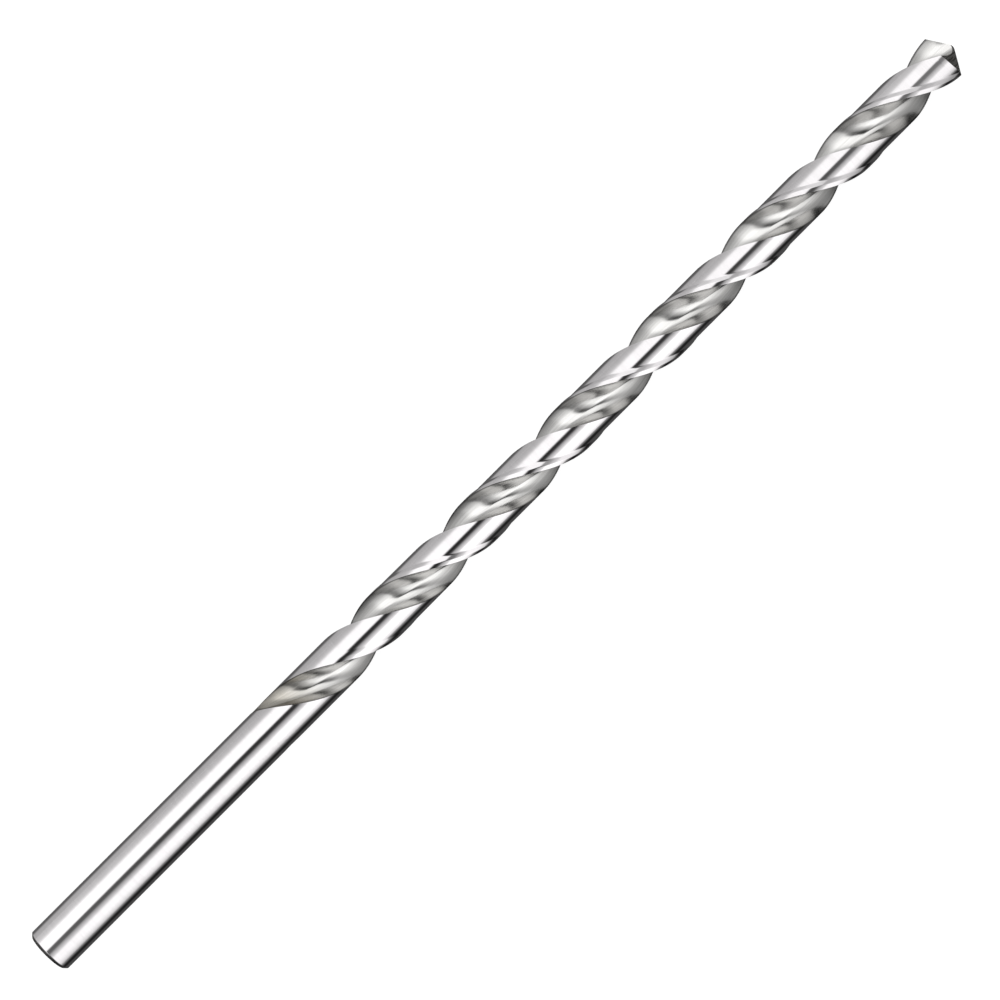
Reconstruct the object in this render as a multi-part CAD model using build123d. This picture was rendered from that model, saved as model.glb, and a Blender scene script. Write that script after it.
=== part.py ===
from build123d import *
from math import asin, atan2, cos, degrees, pi, radians, sin, sqrt, tan
import os

# A two-flute, right-hand twist drill bit with a plain round shank, made from one bar.
# It lies along +X with its point at +X and its lowest line on z = 0. The origin is on
# z = 0 under the middle of its length. The outer corners of the two lips are level.
# It is modelled upright, shank end on z = 0, and laid down at the end.

# Sizes, in millimetres and degrees
diameter = 12.0
overall_length = 300.0
shank_diameter = 11.95       # the body tapers back to this from its diameter at the point
shank_length = 72.0
shank_chamfer = 0.8
flute_gap = 1.0              # from the shank to where the flutes begin

helix_angle = 31.4           # at the diameter
web = 1.7                    # thickness between the flutes at the point
web_growth = 0.010           # the web thickens by this much per millimetre to the shank
flute_angle = 92.5           # at the point, from a cutting edge to the heel ahead of it
flute_narrowing = 7.0        # degrees that the angle loses for each millimetre of half web
crease_lean = 10.0           # by which the flute's two walls meet short of the core circle
heel_rake = 14.0             # lean of the flute wall at the heel, away from the radius
wheel_radius = 50.0          # flute wheel, which is lifted out at the shank
lift_angle = 44.0            # direction of the lift, from the cutting edge

margin_width = 1.2           # of the guiding strip beside each cutting edge
land_clearance = 0.32        # depth of the rest of the land below the diameter
clearance_step = 11.0        # degrees over which the land falls away beside the margin
clearance_fade = 45.0        # length over which the clearance runs out to the shank

point_angle = 118.0
grind_angle = 50.3           # half angle of the cone that each flank is part of
grind_turn = 2.74            # turn of that cone about the lip, which opens the relief
grind_offset = 1.7           # from the drill's axis back to the tip of that cone
chisel_angle = 50.0          # from the lip to the chisel edge
grind_overlap = 0.5          # each flank's cut past the chisel edge
roll = -2.5                  # degrees by which the drill is rolled as it lies

cut_clearance = 1.0          # by which each cutter passes the bar it cuts
step_overrun = 0.25          # share by which the step's slope runs on past both ends
run_out_steps = 10

radius = diameter / 2
lead = pi * diameter / tan(radians(helix_angle))
half_point = radians(point_angle / 2)
lip_offset = web / 2         # each lip runs beside the axis, half a web ahead of it
lip_reach = sqrt(radius**2 - lip_offset**2)


def polar(r, angle):
    return (r * cos(angle), r * sin(angle))


def turn_at(height):
    # Angle of the first cutting edge at a height above the shank end
    return 90.0 + 360.0 * (height - corner_height) / lead


def half_web(height):
    return (web + web_growth * (corner_height - height)) / 2


def heel_turn(core):
    # Angle of the heel, which closes in as the web thickens
    return radians(flute_angle - flute_narrowing * (core - lip_offset))


def rake_turn(r, core):
    # The wall behind a cutting edge holds a straight lip when the point is ground, so
    # it runs ahead of the corner by this angle as it goes in to the core
    ahead = asin(core / r) - asin(core / radius)
    drop = sqrt(r**2 - core**2) - sqrt(radius**2 - core**2)
    return ahead + drop / tan(half_point) * 2 * pi / lead


def flute_section(core):
    # Space of one flute across the axis, its cutting edge at angle 0
    outside = radius + cut_clearance
    inside = core / cos(radians(crease_lean))
    radii = [outside + (inside - outside) * i / 6 for i in range(7)]
    points = [polar(r, rake_turn(r, core)) for r in radii]
    crease = rake_turn(inside, core)
    lean = heel_turn(core) - radians(heel_rake)
    heel = polar(radius - land_clearance, heel_turn(core))
    beyond = land_clearance + cut_clearance
    far = (heel[0] + beyond * cos(lean), heel[1] + beyond * sin(lean))
    ends = [(-sin(crease), cos(crease)), (cos(lean), sin(lean))]
    rake_wall = Spline(*points)
    heel_wall = Spline(points[-1], heel, far, tangents=ends)
    back = ThreePointArc(far, polar(outside + cut_clearance, crease), points[0])
    return make_face([rake_wall, heel_wall, back])


def clearance_section():
    # What is ground off a land between its margin and its heel, with the sloping step first
    outside = radius + 2 * cut_clearance
    inside = radius - land_clearance - cut_clearance
    margin = -margin_width / radius
    edge = Vector(*polar(radius, margin))
    foot = Vector(*polar(radius - land_clearance, margin - radians(clearance_step)))
    high = edge + (edge - foot) * step_overrun
    low = foot + (foot - edge) * step_overrun
    high_turn = atan2(high.Y, high.X)
    low_turn = atan2(low.Y, low.X)
    heel = heel_turn(half_web(lift_start)) - pi - cut_clearance / radius
    top = ThreePointArc(polar(outside, high_turn), polar(outside, heel / 2), polar(outside, heel))
    low_middle = polar(inside, (low_turn + heel) / 2)
    floor = ThreePointArc(polar(inside, heel), low_middle, polar(inside, low_turn))
    step = Polyline(polar(inside, low_turn), low, high, polar(outside, high_turn))
    return make_face([top, Line(top @ 1, floor @ 0), floor, step])


def placed(section, height):
    return Pos(0, 0, height) * Rot(0, 0, turn_at(height)) * section


def twisted(section_low, section_high, low, high):
    # Solid that winds about the axis at the lead, from one section to the other
    track = placed(Helix(pitch=lead, height=high - low, radius=radius), low)
    ends = [placed(section_low, low), placed(section_high, high)]
    return sweep(ends, path=track, is_frenet=True, multisection=True)


# Grinding cone of the first flank. The first lip lies along its side. Directions are
# given with x out along the lip, y ahead of it and z up the axis.
lip = Vector(sin(half_point), 0, -cos(half_point))
cone_tip = Vector(-grind_offset, lip_offset, grind_offset / tan(half_point))
upright_axis = Vector(sin(half_point - radians(grind_angle)), 0, -cos(half_point - radians(grind_angle)))
cone_axis = upright_axis.rotate(Axis((0, 0, 0), lip), grind_turn)

# Height on the drill's axis where the cone's side passes, below the cone's tip
lean_cos = -cone_axis.Z
side_push = cone_tip.X * cone_axis.X + cone_tip.Y * cone_axis.Y
side_square = cone_tip.X**2 + cone_tip.Y**2
grind_cos = cos(radians(grind_angle))
quad_a = lean_cos**2 - grind_cos**2
quad_b = -2 * lean_cos * side_push
quad_c = side_push**2 - grind_cos**2 * side_square
chisel_drop = (-quad_b + sqrt(quad_b**2 - 4 * quad_a * quad_c)) / (2 * quad_a)

# The lips, drawn on to the axis, would meet at the lip apex. The chisel edge is lower.
lip_apex = overall_length - cone_tip.Z + chisel_drop
corner_height = lip_apex - lip_reach / tan(half_point)

# Bar: plain shank, chamfered at its end, and a body that widens slightly to the point
on_base = (Align.CENTER, Align.CENTER, Align.MIN)
shank = Cylinder(shank_diameter / 2, shank_length, align=on_base)
shank = chamfer(shank.edges().sort_by(Axis.Z)[0], shank_chamfer)
body = Cone(shank_diameter / 2, radius, overall_length - shank_length, align=on_base)
bar = shank + Pos(0, 0, shank_length) * body

# Point: each flank is the side of a cone, cut only on its own side of the chisel edge
tall = overall_length - corner_height + 2 * radius
cone = Cone(tall * tan(radians(grind_angle)), 0, tall, align=(Align.CENTER, Align.CENTER, Align.MAX))
cone = Plane(origin=cone_tip, z_dir=-cone_axis) * cone
reach = 4 * radius
block = Box(reach, reach, tall, align=(Align.CENTER, Align.MAX, Align.CENTER))
block = Rot(0, 0, chisel_angle) * Pos(0, grind_overlap, 0) * block
flank_cutter = block - cone
first_lip = 90.0 - degrees(asin(lip_offset / radius))
flank_cutter = Rot(0, 0, first_lip) * Pos(0, 0, lip_apex) * flank_cutter

# Flutes: full depth from the point down to where the wheel begins to lift out
flute_end = shank_length + flute_gap
deepest = radius - half_web(flute_end)
run_out = sqrt(wheel_radius**2 - (wheel_radius - deepest)**2)
lift_start = flute_end + run_out
top = overall_length + cut_clearance
flute = twisted(flute_section(half_web(lift_start)), flute_section(half_web(top)), lift_start, top)

# Run-out of each flute, where its section is lifted along the wheel's arc
steps = []
for i in range(run_out_steps + 1):
    travel = (run_out + cut_clearance) * i / run_out_steps
    lift = wheel_radius - sqrt(wheel_radius**2 - travel**2)
    raised = Pos(*polar(lift, radians(lift_angle)), 0) * flute_section(half_web(lift_start))
    steps.append(placed(raised, lift_start - travel))
flute_foot = loft(steps)

# Clearance behind each margin: a turned skin of the bar, which thins to nothing towards
# the shank, taken off between the step and the heel
outside = radius + cut_clearance
fade_top = lift_start + clearance_fade
skin = Cylinder(outside, top - lift_start, align=on_base)
kept = Cylinder(radius - land_clearance, top - fade_top, align=on_base)
fade = Cone(radius, radius - land_clearance, clearance_fade, align=on_base)
skin = Pos(0, 0, lift_start) * skin - Pos(0, 0, fade_top) * kept - Pos(0, 0, lift_start) * fade
sliver = clearance_section()
clearance = skin & twisted(sliver, sliver, lift_start - cut_clearance, top + cut_clearance)

# The bar is turned so that its seam lies in a flute
drill = Rot(0, 0, turn_at(lift_start) + flute_angle / 2) * bar
for cutter in (flank_cutter, flute, flute_foot, clearance):
    drill -= [cutter, Rot(0, 0, 180) * cutter]

twist_drill = Pos(-overall_length / 2, 0, radius) * Rot(0, 90, 0) * Rot(0, 0, roll) * drill
os.makedirs("parts", exist_ok=True)
export_step(twist_drill, "parts/twist_drill.step")
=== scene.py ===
import math
import bpy
import numpy as np
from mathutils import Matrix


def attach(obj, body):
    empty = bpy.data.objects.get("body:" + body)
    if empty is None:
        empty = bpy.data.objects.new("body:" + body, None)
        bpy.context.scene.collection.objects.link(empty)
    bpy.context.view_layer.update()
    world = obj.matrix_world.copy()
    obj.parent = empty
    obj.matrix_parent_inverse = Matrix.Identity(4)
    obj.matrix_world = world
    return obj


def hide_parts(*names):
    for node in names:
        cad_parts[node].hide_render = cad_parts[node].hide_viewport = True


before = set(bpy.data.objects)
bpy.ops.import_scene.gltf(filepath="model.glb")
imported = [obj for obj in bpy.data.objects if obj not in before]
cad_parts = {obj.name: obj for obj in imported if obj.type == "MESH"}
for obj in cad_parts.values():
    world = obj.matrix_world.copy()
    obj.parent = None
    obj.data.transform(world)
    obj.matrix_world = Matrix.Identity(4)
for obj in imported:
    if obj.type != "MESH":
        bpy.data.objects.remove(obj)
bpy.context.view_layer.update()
bpy.ops.object.select_all(action="DESELECT")
print("frame loaded")

# the bit in millimetres and degrees, standing on its shank end
bit = {
    "diameter": 12.0,
    "length": 300.0,
    "shankDiameter": 11.95,
    "shankLength": 72.0,
    "shankChamfer": 0.8,
    "chamferRound": 0.12,
    "helixAngle": 31.4,
    "web": 1.7,
    "webGrowth": 0.010,
    "fluteAngle": 92.5,
    "fluteNarrowing": 7.0,
    "creaseLean": 10.0,
    "heelRake": 14.0,
    "wheelRadius": 50.0,
    "liftAngle": 44.0,
    "fluteGap": 1.0,
    "roll": -2.5,
    "marginWidth": 1.2,
    "landClearance": 0.32,
    "clearanceStep": 11.0,
    "clearanceFade": 45.0,
    "pointAngle": 118.0,
    "grindAngle": 50.3,
    "grindTurn": 2.74,
    "grindOffset": 1.7,
    "chiselAngle": 50.0,
    "grindOverlap": 0.5,
    # how finely the skin is divided
    "lipColumns": 24,
    "webColumns": 3,
    "floorColumns": 22,
    "stepColumns": 8,
    "marginColumns": 8,
    "endRings": (0.0, 1.6, 3.2, 4.6),
    "shankRows": 36,
    "shankRowsFrom": 2.0,
    "shankRowsShort": 1.5,
    "runOutRows": 44,
    "runOutCrowding": 1.25,
    "fluteStep": 0.8,
    "tipFrom": 294.4,
    "tipPast": 300.4,
    "tipSamples": 61,
    "tipRows": 12,
    "grainFrom": 200.0,
}

radius = bit["diameter"] / 2
lead = math.pi * bit["diameter"] / math.tan(math.radians(bit["helixAngle"]))
halfPoint = math.radians(bit["pointAngle"] / 2)
lipOffset = bit["web"] / 2
lipReach = math.sqrt(radius ** 2 - lipOffset ** 2)
heelColumns = bit["lipColumns"] - bit["webColumns"]


def polar(r, angle):
    return np.array([r * math.cos(angle), r * math.sin(angle)])


def heelTurn(core):
    # the flute closes in as the web thickens
    return math.radians(bit["fluteAngle"] - bit["fluteNarrowing"] * (core - lipOffset))


def turned(points, angle):
    c, s = math.cos(angle), math.sin(angle)
    return np.stack([points[..., 0] * c - points[..., 1] * s,
                     points[..., 0] * s + points[..., 1] * c], axis=-1)


# the cone that each flank lies on, in the frame of its own lip
coneTip = np.array([-bit["grindOffset"], lipOffset, bit["grindOffset"] / math.tan(halfPoint)])
lipLine = np.array([math.sin(halfPoint), 0.0, -math.cos(halfPoint)])
grindAngle = math.radians(bit["grindAngle"])
grindTurn = math.radians(bit["grindTurn"])
plainAxis = np.array([math.sin(halfPoint - grindAngle), 0.0, -math.cos(halfPoint - grindAngle)])
coneAxis = (plainAxis * math.cos(grindTurn) + np.cross(lipLine, plainAxis) * math.sin(grindTurn)
            + lipLine * np.dot(lipLine, plainAxis) * (1 - math.cos(grindTurn)))


def coneHeight(x, y):
    dx, dy = x - coneTip[0], y - coneTip[1]
    spread = math.cos(grindAngle) ** 2
    along = dx * coneAxis[0] + dy * coneAxis[1]
    a = coneAxis[2] ** 2 - spread
    b = 2 * along * coneAxis[2]
    c = along ** 2 - spread * (dx ** 2 + dy ** 2)
    root = math.sqrt(max(b * b - 4 * a * c, 0.0))
    found = [z for z in ((-b + root) / (2 * a), (-b - root) / (2 * a)) if along + z * coneAxis[2] > 0]
    return max(found) + coneTip[2]


lipApex = bit["length"] - coneHeight(0.0, 0.0)
cornerHeight = lipApex - lipReach / math.tan(halfPoint)
lipTurn = math.radians(90) - math.asin(lipOffset / radius)
fluteEnd = bit["shankLength"] + bit["fluteGap"]
deepest = radius - (bit["web"] + bit["webGrowth"] * (cornerHeight - fluteEnd)) / 2
runOut = math.sqrt(bit["wheelRadius"] ** 2 - (bit["wheelRadius"] - deepest) ** 2)
liftStart = fluteEnd + runOut
chisel = polar(1.0, math.radians(bit["chiselAngle"]))
behindLip = np.array([chisel[1], -chisel[0]])
print("lips meet at", round(lipApex, 3), "and end at", round(cornerHeight, 3))


def pointHeight(place):
    own = turned(np.asarray(place, float), -lipTurn)
    side = float(own @ behindLip)
    heights = []
    if side > -bit["grindOverlap"]:
        heights.append(coneHeight(own[0], own[1]))
    if side < bit["grindOverlap"]:
        heights.append(coneHeight(-own[0], -own[1]))
    return lipApex + min(heights)


def turnAt(z):
    return math.radians(90 + 360 * (z - cornerHeight) / lead)


def halfWeb(z):
    return (bit["web"] + bit["webGrowth"] * (cornerHeight - max(z, liftStart))) / 2


def liftAt(z):
    travel = max(liftStart - z, 0.0)
    lift = bit["wheelRadius"] - math.sqrt(bit["wheelRadius"] ** 2 - travel ** 2)
    return polar(lift, math.radians(bit["liftAngle"]))


def barRadius(z):
    share = max(z - bit["shankLength"], 0.0) / (bit["length"] - bit["shankLength"])
    return bit["shankDiameter"] / 2 + (bit["diameter"] - bit["shankDiameter"]) / 2 * share


def landRadius(z):
    share = min(max(z - liftStart, 0.0) / bit["clearanceFade"], 1.0)
    return min(barRadius(z), radius - bit["landClearance"] * share)


def rakePoint(x, core):
    r = math.hypot(x, core)
    ahead = math.asin(min(core / r, 1.0)) - math.asin(core / radius)
    drop = x - math.sqrt(radius ** 2 - core ** 2)
    return polar(r, ahead + drop / math.tan(halfPoint) * 2 * math.pi / lead)


def clampedSpline(points, tangents):
    # a smooth cubic through three points with both end directions given
    p = [np.asarray(q, float) for q in points]
    h = [np.linalg.norm(p[1] - p[0]), np.linalg.norm(p[2] - p[1])]
    slope = [(p[1] - p[0]) / h[0], (p[2] - p[1]) / h[1]]
    bend = (slope[1] - slope[0]) / (h[0] + h[1])
    start = slope[0] - bend * h[0]
    end = slope[1] + bend * h[1]
    first = np.asarray(tangents[0]) * np.abs(start).sum() / np.abs(tangents[0]).sum()
    last = np.asarray(tangents[1]) * np.abs(end).sum() / np.abs(tangents[1]).sum()
    middle = (3 * (slope[0] * h[1] + slope[1] * h[0]) - first * h[1] - last * h[0]) / (2 * (h[0] + h[1]))
    slopes = [first, middle, last]

    def at(u):
        i = 0 if u <= h[0] else 1
        v = (u - (0 if i == 0 else h[0])) / h[i]
        return ((1 + 2 * v) * (1 - v) ** 2 * p[i] + v * (1 - v) ** 2 * h[i] * slopes[i]
                + v * v * (3 - 2 * v) * p[i + 1] - v * v * (1 - v) * h[i] * slopes[i + 1])
    return at, h[0] + h[1]


def heelWall(core):
    creaseAt = core * math.tan(math.radians(bit["creaseLean"]))
    crease = rakePoint(creaseAt, core)
    turn = math.atan2(crease[1], crease[0])
    lean = heelTurn(core) - math.radians(bit["heelRake"])
    heel = polar(radius - bit["landClearance"], heelTurn(core))
    beyond = bit["landClearance"] + 1.0
    far = heel + beyond * polar(1.0, lean)
    return clampedSpline([crease, heel, far], [(-math.sin(turn), math.cos(turn)), polar(1.0, lean)])


def solve(low, high, above):
    for step in range(44):
        middle = (low + high) / 2
        if above(middle):
            high = middle
        else:
            low = middle
    return (low + high) / 2


# shares of the rake wall, from the edge to the chisel's end and on to the crease
def rakeShares(chiselShare):
    outer = [1 - (1 - chiselShare) * i / bit["lipColumns"] for i in range(bit["lipColumns"] + 1)]
    inner = [chiselShare * (1 - i / bit["webColumns"]) for i in range(1, bit["webColumns"] + 1)]
    return outer + inner


def halfSection(z, shares):
    core, lift = halfWeb(z), liftAt(z)
    bar, land = barRadius(z), landRadius(z)
    creaseAt = core * math.tan(math.radians(bit["creaseLean"]))
    crease = rakePoint(creaseAt, core) + lift
    if np.hypot(*crease) >= bar:
        edge = crease / np.hypot(*crease) * bar
        walls = [edge] * (len(shares) + heelColumns)
    else:
        edgeAt = solve(creaseAt, radius + 2, lambda x: np.hypot(*(rakePoint(x, core) + lift)) > bar)
        wall, reach = heelWall(core)
        heelAt = solve(0.0, reach, lambda u: np.hypot(*(wall(u) + lift)) > land)
        walls = [rakePoint(creaseAt + (edgeAt - creaseAt) * f, core) + lift for f in shares]
        walls += [wall(heelAt * (i + 1) / heelColumns) + lift for i in range(heelColumns)]
    edgeTurn = math.atan2(walls[0][1], walls[0][0])
    backTurn = math.atan2(walls[-1][1], walls[-1][0])
    marginTurn = math.pi - bit["marginWidth"] / radius
    footTurn = marginTurn - math.radians(bit["clearanceStep"])
    floor = [polar(land, backTurn + (footTurn - backTurn) * (i + 1) / bit["floorColumns"])
             for i in range(bit["floorColumns"])]
    steps = bit["stepColumns"]
    slope = [polar(land + (bar - land) * i / steps, footTurn + (marginTurn - footTurn) * i / steps)
             for i in range(1, steps)]
    count = bit["marginColumns"]
    margin = [polar(bar, marginTurn + (math.pi + edgeTurn - marginTurn) * i / count) for i in range(count)]
    return np.array(walls + floor + slope + margin)


def ring(z, shares):
    half = halfSection(z, shares)
    return turned(np.concatenate([half, -half, half[:1]]), turnAt(z))


# the share of the rake wall at which the chisel edge leaves the lip
def chiselEnd():
    core = lipOffset
    creaseAt = core * math.tan(math.radians(bit["creaseLean"]))

    def pastChisel(x):
        place = np.array([x, core])
        return coneHeight(*place) < coneHeight(*-place)
    return (solve(creaseAt, radius / 2, pastChisel) - creaseAt) / (lipReach - creaseAt)


shares = rakeShares(chiselEnd())
tail = solve(liftStart - 25, liftStart,
             lambda z: np.hypot(*(rakePoint(halfWeb(z) * math.tan(math.radians(bit["creaseLean"])), halfWeb(z))
                                  + liftAt(z))) < barRadius(z))
print("flutes leave the bar at", round(tail, 3))


# the skin: columns follow the helix, starting at the first lip, and rows run from the shank end to the point
halfCount = len(shares) + heelColumns + bit["floorColumns"] + bit["stepColumns"] - 1 + bit["marginColumns"]
columnCount = 2 * halfCount + 1
heelStart = len(shares)
floorStart = heelStart + heelColumns


def laidDown(points):
    # x, y, z upright in millimetres to the bit on its side in metres
    p = np.asarray(points, float)
    flat = turned(p[..., :2], math.radians(bit["roll"]))
    return np.stack([p[..., 2] - bit["length"] / 2, flat[..., 1], radius - flat[..., 0]], axis=-1) / 1000


def lifted(flat, z):
    heights = np.full((len(flat), 1), z) if np.isscalar(z) else np.asarray(z)[:, None]
    return np.concatenate([flat, heights], axis=1)


def skinRows():
    rows = []
    tailRing = ring(tail - 0.001, shares)
    unit = tailRing / np.linalg.norm(tailRing, axis=1)[:, None]
    shank, chamfer, soft = bit["shankDiameter"] / 2, bit["shankChamfer"], bit["chamferRound"]
    slant = 0.7      # how far the soft turns reach along the chamfer
    profile = [(r, 0.0) for r in bit["endRings"]] + [(shank - chamfer - soft, 0.0)]
    for i in range(1, 6):      # a soft turn into the chamfer
        t = i / 5
        profile.append((shank - chamfer - soft * (1 - t) ** 2 + soft * slant * t * t, soft * slant * t * t))
    for i in range(5):         # and out of it
        t = i / 4
        left = soft * slant * (1 - t) ** 2
        profile.append((shank - left, chamfer - left + soft * t * t))
    profile.append((shank, chamfer + soft + 0.08))      # keeps the turn's shading off the shank
    for z in np.linspace(bit["shankRowsFrom"], tail - bit["shankRowsShort"], bit["shankRows"]):
        profile.append((barRadius(z), z))
    for r, z in profile:
        rows.append(lifted(unit * r, z))
    rows.append(lifted(tailRing, tail))
    reach = liftStart - tail
    for i in range(1, bit["runOutRows"] + 1):
        z = tail + reach * (i / bit["runOutRows"]) ** bit["runOutCrowding"]
        rows.append(lifted(ring(z, shares), z))
    last, past, steps = bit["tipFrom"], bit["tipPast"], bit["tipSamples"] - 1
    count = int(round((last - liftStart) / bit["fluteStep"]))
    for z in np.linspace(liftStart, last, count + 1)[1:]:
        rows.append(lifted(ring(z, shares), z))
    # every column then runs on along its own helix to the ground point
    ends = np.zeros(columnCount)
    samples = np.linspace(last, past, steps + 1)
    rings = np.array([ring(z, shares) for z in samples])
    for column in range(halfCount):
        gap = [z - pointHeight(rings[i, column]) for i, z in enumerate(samples)]
        i = next(k for k in range(1, len(gap)) if gap[k] > 0)
        ends[column] = samples[i - 1] + (samples[i] - samples[i - 1]) * gap[i - 1] / (gap[i - 1] - gap[i])
    ends[halfCount:2 * halfCount] = ends[:halfCount]
    ends[-1] = ends[0]

    def onHelix(column, z):
        k = (z - last) / (past - last) * steps
        i = min(int(k), steps - 1)
        f = k - i
        a = turned(rings[i, column], -turnAt(samples[i]))
        b = turned(rings[i + 1, column], -turnAt(samples[i + 1]))
        return turned(a * (1 - f) + b * f, turnAt(z))
    for row in range(1, bit["tipRows"] + 1):
        z = last + (ends - last) * row / bit["tipRows"]
        rows.append(lifted(np.array([onHelix(c, z[c]) for c in range(columnCount)]), z))
    return np.array(rows)


skin = skinRows()
print("skin worked out:", skin.shape[0], "rows of", skin.shape[1], "points")


# one of the two ground flanks: a patch between its four edges, lifted on to the cone
def filledPatch(bottom, top, left, right):
    # bottom and top run along u, left and right along v
    n, m = len(bottom), len(left)
    u = np.linspace(0, 1, n)[:, None, None]
    v = np.linspace(0, 1, m)[None, :, None]
    ruled = (1 - v) * bottom[:, None] + v * top[:, None]
    crossed = (1 - u) * left[None] + u * right[None]
    corners = ((1 - u) * (1 - v) * bottom[0] + u * (1 - v) * bottom[-1]
               + (1 - u) * v * top[0] + u * v * top[-1])
    return ruled + crossed - corners


def flankPatch():
    tip = skin[-1]
    lip = tip[halfCount:halfCount + bit["lipColumns"] + 1][::-1, :2]      # chisel end to corner
    arc = tip[floorStart - 1:halfCount + 1, :2]                           # heel to corner
    heel = tip[bit["lipColumns"]:floorStart, :2]                          # other chisel end to heel
    reach = 0.3                                                           # how far the chisel may bow
    count = len(arc)
    ends = [heel[0], lip[0]]
    across = np.array([-(ends[1] - ends[0])[1], (ends[1] - ends[0])[0]])
    across = across / np.linalg.norm(across)
    edge = []
    for i in range(count):
        base = ends[0] + (ends[1] - ends[0]) * i / (count - 1)
        own = turned(base, -lipTurn)
        step = turned(across, -lipTurn)

        def gap(d):
            p = own + step * d
            return coneHeight(*p) - coneHeight(*-p)
        rises = gap(reach) > gap(-reach)
        d = solve(-reach, reach, lambda t: (gap(t) > 0) == rises) if 0 < i < count - 1 else 0.0
        edge.append(base + across * d)
    edge = np.array(edge)
    flat = filledPatch(heel, lip, edge, arc)       # u from the chisel outwards, v from the heel to the lip
    n, m = flat.shape[:2]
    patch = np.zeros((n, m, 3))
    patch[..., :2] = flat
    for i in range(n):
        for j in range(m):
            own = turned(flat[i, j], -lipTurn)
            patch[i, j, 2] = lipApex + coneHeight(-own[0], -own[1])
    tipHeights = tip[:, 2]
    patch[:, -1, 2] = tipHeights[halfCount:halfCount + bit["lipColumns"] + 1][::-1]
    patch[-1, :, 2] = tipHeights[floorStart - 1:halfCount + 1]
    patch[:, 0, 2] = tipHeights[bit["lipColumns"]:floorStart]
    return patch


patch = flankPatch()
print("flank worked out:", patch.shape[0], "by", patch.shape[1], "points")


def placedGrid(name, rows, uvs):
    # a grid primitive whose points take their places on the bit
    deep, wide = rows.shape[:2]
    bpy.ops.object.select_all(action="DESELECT")
    bpy.ops.mesh.primitive_grid_add(x_subdivisions=wide - 1, y_subdivisions=deep - 1, size=0.1)
    piece = bpy.context.object
    piece.name = name
    mesh = piece.data
    if len(mesh.vertices) != deep * wide:
        raise ValueError("the grid has another count of points")
    mesh.vertices.foreach_set("co", laidDown(rows.reshape(-1, 3)).astype(np.float32).ravel())
    corners = np.zeros(len(mesh.loops), np.int32)
    mesh.loops.foreach_get("vertex_index", corners)
    mesh.uv_layers.active.data.foreach_set("uv", uvs.reshape(-1, 2)[corners].astype(np.float32).ravel())
    mesh.uv_layers.active.name = "grain"
    for finish in finishes:
        mesh.materials.append(finish)
    mesh.update()
    return piece


# millimetres round the section from the first lip, so that a pattern can follow the helix
sectionSteps = np.linalg.norm(np.diff(ring(bit["grainFrom"], shares), axis=0), axis=1)
sectionReach = np.concatenate([[0], np.cumsum(sectionSteps)])
heelReach, halfReach = sectionReach[floorStart - 1], sectionReach[halfCount]


def skinUv():
    uv = np.zeros(skin.shape[:2] + (2,))
    uv[..., 0] = sectionReach[None]
    uv[..., 1] = skin[..., 2]
    return uv / 100


# the finishes: colours, how blurred, and how deep the marks are in metres
finishLooks = {
    "polishedRound": {"dark": (0.600, 0.584, 0.592), "light": (0.640, 0.624, 0.633),
                      "smooth": 0.055, "rough": 0.10, "deep": 2.0e-7},
    "groundFlute": {"dark": (0.525, 0.519, 0.508), "light": (0.645, 0.639, 0.629),
                    "smooth": 0.13, "rough": 0.25, "deep": 8.0e-7},
    "groundPoint": {"dark": (0.19, 0.174, 0.153), "light": (0.6, 0.585, 0.555),
                    "smooth": 0.16, "rough": 0.30, "deep": 1.6e-5},
    # the turned end and its chamfer are painted near-black, much darker than the shank's steel: painted shade
    "turnedEnd": {"dark": (0.12, 0.117, 0.114), "light": (0.24, 0.236, 0.232),
                  "smooth": 0.18, "rough": 0.36, "deep": 2.0e-6},
}


def addNode(nodes, kind, **settings):
    node = nodes.new(kind)
    for key, value in settings.items():
        setattr(node, key, value)
    return node


def joined(nodes, value, socket):
    nodes.id_data.links.new(value, socket)


def addNoise(nodes, source, scale, detail=2.0):
    # noise with its own fineness along each direction
    place = nodes.new("ShaderNodeMapping")
    place.inputs["Scale"].default_value = scale
    noise = nodes.new("ShaderNodeTexNoise")
    noise.inputs["Scale"].default_value = 1.0
    noise.inputs["Detail"].default_value = detail
    joined(nodes, source, place.inputs["Vector"])
    joined(nodes, place.outputs[0], noise.inputs["Vector"])
    return noise.outputs["Fac"]


def addRange(nodes, value, lowIn, highIn, lowOut=0.0, highOut=1.0):
    spread = nodes.new("ShaderNodeMapRange")
    for name, number in zip(("From Min", "From Max", "To Min", "To Max"), (lowIn, highIn, lowOut, highOut)):
        spread.inputs[name].default_value = number
    joined(nodes, value, spread.inputs["Value"])
    return spread.outputs[0]


def addMath(nodes, operation, first, second=None):
    node = addNode(nodes, "ShaderNodeMath", operation=operation)
    for socket, value in zip(node.inputs, (first, second)):
        if isinstance(value, (int, float)):
            socket.default_value = value
        elif value is not None:
            joined(nodes, value, socket)
    return node.outputs[0]


def newFinish(name):
    look = finishLooks[name]
    finish = bpy.data.materials.new(name)
    finish.use_nodes = True
    nodes = finish.node_tree.nodes
    shader = nodes["Principled BSDF"]
    shader.inputs["Metallic"].default_value = 1.0
    return finish, look, nodes, shader


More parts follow.
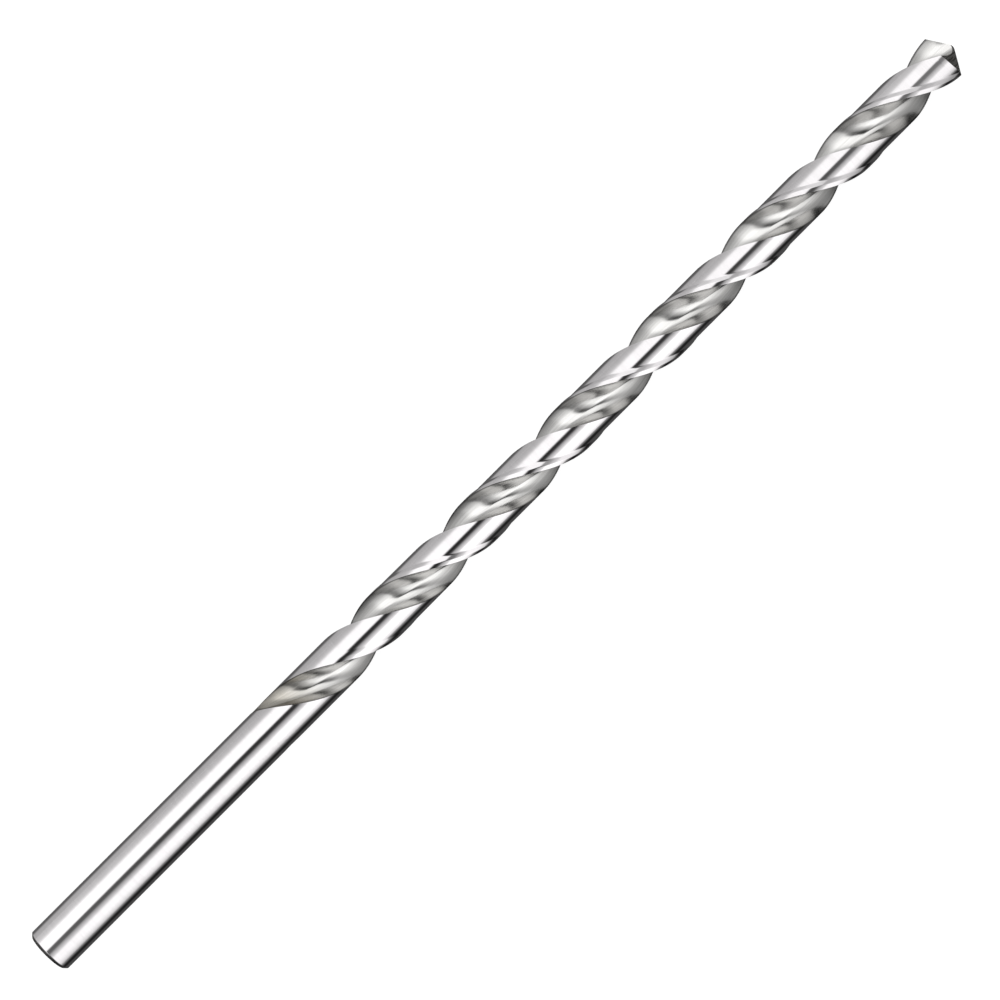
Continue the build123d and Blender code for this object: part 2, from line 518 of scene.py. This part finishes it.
def dressFinish(nodes, shader, look, shade, blur, height):
    # shade, blur and height run from 0 to 1 and drive the colour, the roughness and the bump
    tint = addNode(nodes, "ShaderNodeMix", data_type="RGBA")
    tint.inputs["A"].default_value = (*look["dark"], 1)
    tint.inputs["B"].default_value = (*look["light"], 1)
    joined(nodes, shade, tint.inputs["Factor"])
    joined(nodes, tint.outputs["Result"], shader.inputs["Base Color"])
    joined(nodes, addRange(nodes, blur, 0.0, 1.0, look["smooth"], look["rough"]), shader.inputs["Roughness"])
    bump = nodes.new("ShaderNodeBump")
    bump.inputs["Strength"].default_value = 1.0
    bump.inputs["Distance"].default_value = look["deep"]
    joined(nodes, height, bump.inputs["Height"])
    joined(nodes, bump.outputs[0], shader.inputs["Normal"])


def makeRoundFinish():
    # ground round the axis: fine rings, and broad faint smears of handling
    finish, look, nodes, shader = newFinish("polishedRound")
    place = nodes.new("ShaderNodeTexCoord").outputs["Object"]
    rings = addNoise(nodes, place, (5200, 240, 240), 3.0)
    bands = addNoise(nodes, place, (420, 60, 60), 2.0)
    smears = addNoise(nodes, place, (55, 210, 210), 2.0)
    shade = addRange(nodes, addMath(nodes, "ADD", rings, bands), 0.75, 1.25)
    blur = addRange(nodes, addMath(nodes, "ADD", addMath(nodes, "MULTIPLY", rings, 0.4), smears), 0.5, 0.95)
    dressFinish(nodes, shader, look, shade, blur, rings)
    return finish


def makeFluteFinish():
    # wheel marks along the helix, with painted shade: darker in a thin line beside both edges and over the
    # first millimetres from the lip
    finish, look, nodes, shader = newFinish("groundFlute")
    grain = addNode(nodes, "ShaderNodeUVMap", uv_map="grain").outputs["UV"]
    marks = addNoise(nodes, grain, (900, 11, 1), 3.0)
    streaks = addNoise(nodes, grain, (190, 4, 1), 2.0)
    patches = addNoise(nodes, grain, (40, 12, 1), 2.0)
    split = nodes.new("ShaderNodeSeparateXYZ")
    joined(nodes, grain, split.inputs[0])
    reach = addMath(nodes, "MODULO", split.outputs["X"], float(halfReach) / 100)
    # painted shade: the colour darkens in a thin line beside the lip and beside the heel
    fromLip = addRange(nodes, reach, 0.0008, 0.0055)
    # painted shade, a little darker over the first few millimetres from the lip
    lipShade = addRange(nodes, reach, 0.013, 0.032, 0.80, 1.0)
    fromHeel = addRange(nodes, reach, float(heelReach) / 100 - 0.0008, float(heelReach) / 100 - 0.0048)
    inside = addMath(nodes, "MULTIPLY", lipShade,
                     addRange(nodes, addMath(nodes, "MULTIPLY", fromLip, fromHeel), 0.0, 1.0, 0.16, 1.0))
    mixed = addMath(nodes, "ADD", addMath(nodes, "MULTIPLY", marks, 0.6), streaks)
    shade = addRange(nodes, mixed, 0.55, 1.05)
    blur = addRange(nodes, addMath(nodes, "ADD", streaks, patches), 0.7, 1.3)
    dressFinish(nodes, shader, look, shade, blur, marks)
    tint = shader.inputs["Base Color"].links[0].from_node
    # the painted shade darkens the base colour
    edge = addNode(nodes, "ShaderNodeMix", data_type="RGBA", blend_type="MULTIPLY")
    edge.inputs["Factor"].default_value = 1.0
    joined(nodes, tint.outputs["Result"], edge.inputs["A"])
    joined(nodes, inside, edge.inputs["B"])
    # painted shade: a browner, darker tone over the run-out, where the flute leaves the bar
    runOutShade = addNode(nodes, "ShaderNodeMix", data_type="RGBA", blend_type="MULTIPLY")
    runOutShade.inputs["B"].default_value = (0.66, 0.635, 0.585, 1)
    joined(nodes, addRange(nodes, split.outputs["Y"], 0.905, 0.815), runOutShade.inputs["Factor"])
    joined(nodes, edge.outputs["Result"], runOutShade.inputs["A"])
    joined(nodes, runOutShade.outputs["Result"], shader.inputs["Base Color"])
    return finish


def makePointFinish():
    # coarse marks of the grinding wheel, from the lip back to the heel
    finish, look, nodes, shader = newFinish("groundPoint")
    grain = addNode(nodes, "ShaderNodeUVMap", uv_map="grain").outputs["UV"]
    coarse = addNoise(nodes, grain, (210, 22, 1), 1.0)
    fine = addNoise(nodes, grain, (800, 30, 1), 2.0)
    mixed = addMath(nodes, "ADD", addMath(nodes, "MULTIPLY", fine, 0.4), coarse)
    shade = addRange(nodes, mixed, 0.60, 0.82)
    dressFinish(nodes, shader, look, shade, addRange(nodes, fine, 0.3, 0.7), mixed)
    return finish


def makeEndFinish():
    # rings of the turning tool about the axis, on near-black colours that are painted shade
    finish, look, nodes, shader = newFinish("turnedEnd")
    place = nodes.new("ShaderNodeTexCoord").outputs["Object"]
    split = nodes.new("ShaderNodeSeparateXYZ")
    joined(nodes, place, split.inputs[0])
    height = addMath(nodes, "SUBTRACT", split.outputs["Z"], radius / 1000)
    out = addMath(nodes, "SQRT", addMath(nodes, "ADD", addMath(nodes, "POWER", split.outputs["Y"], 2.0),
                                         addMath(nodes, "POWER", height, 2.0)))
    merged = nodes.new("ShaderNodeCombineXYZ")
    joined(nodes, out, merged.inputs["X"])
    rings = addNoise(nodes, merged.outputs[0], (5500, 1, 1), 3.0)
    worn = addNoise(nodes, place, (500, 500, 500), 3.0)
    dressFinish(nodes, shader, look, addRange(nodes, addMath(nodes, "ADD", rings, worn), 0.7, 1.3),
                addRange(nodes, worn, 0.3, 0.7), rings)
    return finish


finishes = [makeRoundFinish(), makeFluteFinish(), makePointFinish(), makeEndFinish()]


def zoneFaces(piece, chooser):
    mesh = piece.data
    picked = np.zeros(len(mesh.polygons), np.int32)
    for face in mesh.polygons:
        picked[face.index] = chooser(min(face.vertices))
    mesh.polygons.foreach_set("material_index", picked)


def buildBit():
    body = placedGrid("drillBit", skin, skinUv())
    rowAt = skin[:, 0, 2]
    flats = [i for i, z in enumerate(rowAt) if z < bit["shankChamfer"] + 1e-6]
    lastFlat = len(flats) - 1

    def skinZone(first):
        row, column = divmod(first, columnCount)
        column = column % halfCount
        if row < lastFlat:
            return 3
        if rowAt[row] < tail - 0.01:
            return 0
        return 1 if column < floorStart - 1 else 0
    zoneFaces(body, skinZone)
    flanks = []
    for half in (0, 1):
        rows = patch.copy()
        if half:
            rows[..., :2] *= -1
        reach = np.linalg.norm(rows - rows[:1, :1], axis=2)
        uv = np.zeros(rows.shape[:2] + (2,))
        side = rows[-1, -1, :2] / np.linalg.norm(rows[-1, -1, :2])
        uv[..., 0] = rows[..., 0] * side[0] + rows[..., 1] * side[1]
        uv[..., 1] = rows[..., 1] * side[0] - rows[..., 0] * side[1]
        flank = placedGrid("flank%d" % half, rows, uv / 100)
        zoneFaces(flank, lambda first: 2)
        flanks.append(flank)
    bpy.ops.object.select_all(action="DESELECT")
    for part in (body, *flanks):
        part.select_set(True)
    bpy.context.view_layer.objects.active = body
    bpy.ops.object.join()
    bpy.ops.object.mode_set(mode="EDIT")
    bpy.ops.mesh.select_all(action="SELECT")
    bpy.ops.mesh.remove_doubles(threshold=2e-7)
    bpy.ops.mesh.normals_make_consistent(inside=False)
    bpy.ops.mesh.select_all(action="DESELECT")
    bpy.ops.object.mode_set(mode="OBJECT")
    bpy.ops.object.shade_smooth_by_angle(angle=math.radians(20))
    return body


drill = buildBit()
print("bit made:", len(drill.data.vertices), "points and", len(drill.data.polygons), "faces")

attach(drill, "root")
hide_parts("twist_drill")


# the studio in metres
studio = {
    "tentRadius": 1.6,
    "tentFoot": -0.02,
    "floorSize": 6.0,
    "paperShade": 0.3,
    "paperGlow": 0.86,
    "cardLength": 1.5,
    "cardWidth": 0.9,
    "cardLift": 0.0002,
    "eyeHeight": 0.850,
    "lens": 130.6,
    "aside": 0.00017,
    "across": 0.00006,
}


def bareMaterial(name):
    material = bpy.data.materials.new(name)
    material.use_nodes = True
    nodes = material.node_tree.nodes
    nodes.clear()
    return material, nodes, material.node_tree.links, nodes.new("ShaderNodeOutputMaterial")


def addCurve(nodes, points, low, high, top):
    # a float curve through (place, level) points, with its input spread over low to high
    spread = nodes.new("ShaderNodeMapRange")
    spread.inputs["From Min"].default_value = math.radians(low)
    spread.inputs["From Max"].default_value = math.radians(high)
    node = nodes.new("ShaderNodeFloatCurve")
    curve = node.mapping.curves[0]
    placed = [((a - low) / (high - low), level / top) for a, level in points]
    curve.points[0].location = placed[0]
    curve.points[1].location = placed[-1]
    for p in placed[1:-1]:
        curve.points.new(*p)
    for p in curve.points:
        p.handle_type = "AUTO_CLAMPED"
    node.mapping.update()
    node.id_data.links.new(spread.outputs[0], node.inputs["Value"])
    return spread.inputs["Value"], node.outputs[0]


# the tent is lit by two long soft panels with a dark slit between them, and by a faint glow of the room;
# "across" is in degrees from the slit towards -Y, "along" in degrees from straight up towards the point
tent = {
    "slit": [(-90, 30), (-50, 28), (-30, 15), (-9, -1), (0, 2.5), (8, 4), (18, -1), (90, -1)],
    "slitAside": 5,      # lifts the slit's places above zero, where a curve can hold them
    "slitTop": 40,
    "levelTop": 2.0,
    "acrossReach": (-125, 95),
    "alongReach": (-90, 90),
    "farPanel": {
        "across": [(-125, 0.3), (-70, 0.48), (-50, 0.95), (-42, 1.0), (-16, 1.0), (-8, 0.5), (-1, 0.0),
                   (95, 0.0)],
        "along": [(-90, 0.0), (-66, 0.0), (-50, 0.5), (-35, 1.05), (-9, 1.65), (8, 1.52), (30, 0.4),
                  (62, 0.0), (90, 0.0)],
    },
    "nearPanel": {
        "across": [(-125, 0.0), (2, 0.0), (16, 0.29), (30, 0.63), (42, 1.0), (56, 1.0), (78, 0.8),
                   (95, 0.3)],
        "along": [(-90, 0.0), (-66, 0.0), (-50, 0.44), (-30, 0.9), (-9, 1.65), (0, 1.83), (8, 1.66),
                  (30, 0.35), (50, 0.0), (90, 0.0)],
    },
    "roomGlow": {
        "across": [(-125, 1.0), (0, 1.0), (95, 0.25)],
        "along": [(-90, 0.8), (-76, 0.7), (-62, 0.09), (-40, 0.3), (-20, 0.24), (-5, 0.03), (8, 0.07),
                  (28, 0.66), (60, 0.36), (75, 0.7), (90, 0.8)],
    },
}


def makeTent():
    bpy.ops.object.select_all(action="DESELECT")
    bpy.ops.mesh.primitive_uv_sphere_add(segments=96, ring_count=48, radius=studio["tentRadius"])
    dome = bpy.context.object
    dome.name = "lightTent"
    bpy.ops.object.mode_set(mode="EDIT")
    bpy.ops.mesh.select_all(action="SELECT")
    bpy.ops.mesh.bisect(plane_co=(0, 0, studio["tentFoot"]), plane_no=(0, 0, 1), clear_inner=True)
    bpy.ops.object.mode_set(mode="OBJECT")
    bpy.ops.object.shade_smooth()
    cloth, nodes, links, out = bareMaterial("tentCloth")
    glow = nodes.new("ShaderNodeEmission")
    place = nodes.new("ShaderNodeTexCoord")
    unit = addNode(nodes, "ShaderNodeVectorMath", operation="NORMALIZE")
    split = nodes.new("ShaderNodeSeparateXYZ")
    flip = addNode(nodes, "ShaderNodeMath", operation="MULTIPLY")
    flip.inputs[1].default_value = -1
    across = addNode(nodes, "ShaderNodeMath", operation="ARCTAN2")
    along = addNode(nodes, "ShaderNodeMath", operation="ARCSINE")
    links.new(place.outputs["Object"], unit.inputs[0])
    links.new(unit.outputs[0], split.inputs[0])
    links.new(split.outputs["Y"], flip.inputs[0])
    links.new(flip.outputs[0], across.inputs[0])
    links.new(split.outputs["Z"], across.inputs[1])
    links.new(split.outputs["X"], along.inputs[0])
    alongIn, slit = addCurve(nodes, [(a, b + tent["slitAside"]) for a, b in tent["slit"]],
                             *tent["alongReach"], tent["slitTop"])
    links.new(along.outputs[0], alongIn)
    slitTurn = addNode(nodes, "ShaderNodeMath", operation="MULTIPLY_ADD")
    slitTurn.inputs[1].default_value = -math.radians(tent["slitTop"])
    slitTurn.inputs[2].default_value = math.radians(tent["slitAside"])
    links.new(slit, slitTurn.inputs[0])
    fromSlit = addNode(nodes, "ShaderNodeMath", operation="ADD")
    links.new(across.outputs[0], fromSlit.inputs[0])
    links.new(slitTurn.outputs[0], fromSlit.inputs[1])
    level = None
    for light in ("farPanel", "nearPanel", "roomGlow"):
        acrossIn, acrossOut = addCurve(nodes, tent[light]["across"], *tent["acrossReach"], 1)
        alongIn, alongOut = addCurve(nodes, tent[light]["along"], *tent["alongReach"], tent["levelTop"])
        links.new(fromSlit.outputs[0], acrossIn)
        links.new(along.outputs[0], alongIn)
        share = addNode(nodes, "ShaderNodeMath", operation="MULTIPLY")
        links.new(acrossOut, share.inputs[0])
        links.new(alongOut, share.inputs[1])
        if level is None:
            level = share.outputs[0]
            continue
        both = addNode(nodes, "ShaderNodeMath", operation="ADD")
        links.new(level, both.inputs[0])
        links.new(share.outputs[0], both.inputs[1])
        level = both.outputs[0]
    power = addNode(nodes, "ShaderNodeMath", operation="MULTIPLY")
    power.inputs[1].default_value = tent["levelTop"]
    links.new(level, power.inputs[0])
    links.new(power.outputs[0], glow.inputs["Strength"])
    links.new(glow.outputs[0], out.inputs["Surface"])
    dome.data.materials.append(cloth)
    dome.visible_camera = False


def makeFloor():
    bpy.ops.object.select_all(action="DESELECT")
    bpy.ops.mesh.primitive_plane_add(size=studio["floorSize"])
    floor = bpy.context.object
    floor.name = "floor"
    paper, nodes, links, out = bareMaterial("palePaper")
    both = nodes.new("ShaderNodeAddShader")
    glow = nodes.new("ShaderNodeEmission")
    matt = nodes.new("ShaderNodeBsdfDiffuse")
    matt.inputs["Color"].default_value = (*[studio["paperShade"]] * 3, 1)
    glow.inputs["Strength"].default_value = studio["paperGlow"]
    links.new(glow.outputs[0], both.inputs[0])
    links.new(matt.outputs[0], both.inputs[1])
    links.new(both.outputs[0], out.inputs["Surface"])
    floor.data.materials.append(paper)


# brightness of the cards by the distance from the bit's middle in metres; the grey card dims towards the bit,
# a painted shadow of the bit on the floor that shows only in reflections
cardLevels = {
    "blackCard": [(0.0, 0.08), (0.0128, 0.09), (0.0223, 0.013), (0.049, 0.15), (0.107, 0.4), (0.2, 0.5),
                  (0.4, 0.55)],
    "greyCard": [(0.0, 0.04), (0.0128, 0.16), (0.0223, 0.58), (0.049, 0.64), (0.4, 0.7)],
}


def makeCard(name, side):
    # a card flat on the floor beside the bit, seen only in its reflections
    bpy.ops.object.select_all(action="DESELECT")
    bpy.ops.mesh.primitive_plane_add(size=1)
    card = bpy.context.object
    card.name = name
    for v in card.data.vertices:
        width = 0.0 if v.co.y < 0 else studio["cardWidth"]
        v.co = (math.copysign(studio["cardLength"] / 2, v.co.x), side * width, studio["cardLift"])
    paint, nodes, links, out = bareMaterial(name + "Paint")
    glow = nodes.new("ShaderNodeEmission")
    place = nodes.new("ShaderNodeTexCoord")
    split = nodes.new("ShaderNodeSeparateXYZ")
    away = addNode(nodes, "ShaderNodeMath", operation="ABSOLUTE")
    ease = addNode(nodes, "ShaderNodeMath", operation="SQRT")
    levels = cardLevels[name]
    levelIn, levelOut = addCurve(nodes, [(math.degrees(math.sqrt(a)), b) for a, b in levels],
                                 0, math.degrees(math.sqrt(levels[-1][0])), 1.0)
    links.new(place.outputs["Object"], split.inputs[0])
    links.new(split.outputs["Y"], away.inputs[0])
    links.new(away.outputs[0], ease.inputs[0])
    links.new(ease.outputs[0], levelIn)
    links.new(levelOut, glow.inputs["Strength"])
    links.new(glow.outputs[0], out.inputs["Surface"])
    card.data.materials.append(paint)
    card.visible_camera = False
    card.visible_diffuse = False
    card.visible_shadow = False


makeTent()
makeFloor()
makeCard("blackCard", -1)
makeCard("greyCard", 1)

world = bpy.data.worlds.new("paleRoom")
bpy.context.scene.world = world
world.use_nodes = True
world.node_tree.nodes["Background"].inputs["Color"].default_value = (1, 1, 1, 1)
world.node_tree.nodes["Background"].inputs["Strength"].default_value = 1.0

camera = bpy.data.objects.new("camera", bpy.data.cameras.new("camera"))
bpy.context.collection.objects.link(camera)
camera.location = (-studio["aside"], studio["across"], radius / 1000 + studio["eyeHeight"])
camera.rotation_euler = (0, 0, math.radians(-45))
camera.data.sensor_width = 36
camera.data.lens = studio["lens"]
camera.data.clip_start = 0.01
bpy.context.scene.camera = camera
bpy.context.scene.view_settings.view_transform = "Standard"
